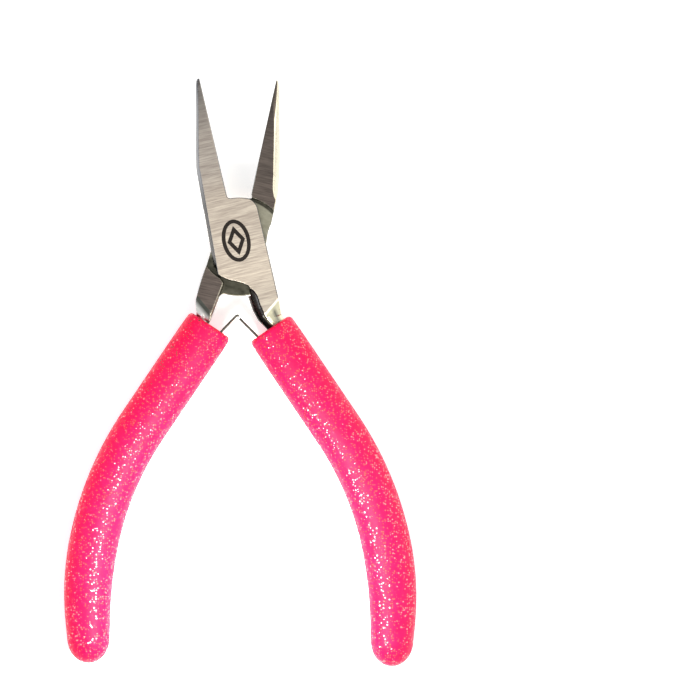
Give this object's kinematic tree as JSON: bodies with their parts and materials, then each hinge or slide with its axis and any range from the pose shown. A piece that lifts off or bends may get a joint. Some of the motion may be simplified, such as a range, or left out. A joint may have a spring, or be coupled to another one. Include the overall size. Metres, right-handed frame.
{
  "type": "chain nose pliers",
  "caption": "Slim chain nose jewellery pliers with a box joint, sprung open by two leaf springs, in dipped vinyl grips.",
  "frame": {"origin": "on the pivot's axis, at the back face of the head", "axes": "+Y from the pivot towards the jaws, +Z out of the front face along the pivot's axis, +X to the right seen from the front"},
  "size_m": [0.0775, 0.1294, 0.0094],
  "materials": {
    "plate_steel": "fine cross-brushed steel plate",
    "forged_steel": "satin ground steel",
    "spring_steel": "polished spring strip",
    "rivet_steel": "plain steel rivet",
    "grip_vinyl": "glossy hot pink vinyl with fine glitter"
  },
  "bodies": {
    "box_body": {"box_half": "plate_steel", "pivot_pin": "plate_steel", "leaf_foot_right": "spring_steel", "spring_rivet_right": "rivet_steel", "grip_right": "grip_vinyl"},
    "tongue_body": {"tongue_half": "forged_steel", "leaf_foot_left": "spring_steel", "spring_rivet_left": "rivet_steel", "grip_left": "grip_vinyl"},
    "leaf_right_arm": {"leaf_spring_right": "spring_steel"},
    "leaf_left_arm": {"leaf_spring_left": "spring_steel"}
  },
  "joints": [
    {"name": "jaw_pivot", "type": "hinge", "parent": "box_body", "child": "tongue_body", "pos_m": [0, 0, 0.0028], "axis": [0, 0, 1], "range_deg": [-6, 26], "stiffness_Nm_per_rad": 0.6},
    {"name": "leaf_left_flex", "type": "hinge", "parent": "tongue_body", "child": "leaf_left_arm", "pos_m": [-0.00702, -0.02314, 0.0028], "axis": [0, 0, 1], "range_deg": [-8, 32]},
    {"name": "leaf_right_flex", "type": "hinge", "parent": "box_body", "child": "leaf_right_arm", "pos_m": [0.00752, -0.02388, 0.0028], "axis": [0, 0, 1], "range_deg": [-20, 6]}
  ],
  "couplings": [
    {"joint": "leaf_left_flex", "follows": "jaw_pivot", "ratio": 1},
    {"joint": "leaf_right_flex", "follows": "jaw_pivot", "ratio": -0.58}
  ]
}
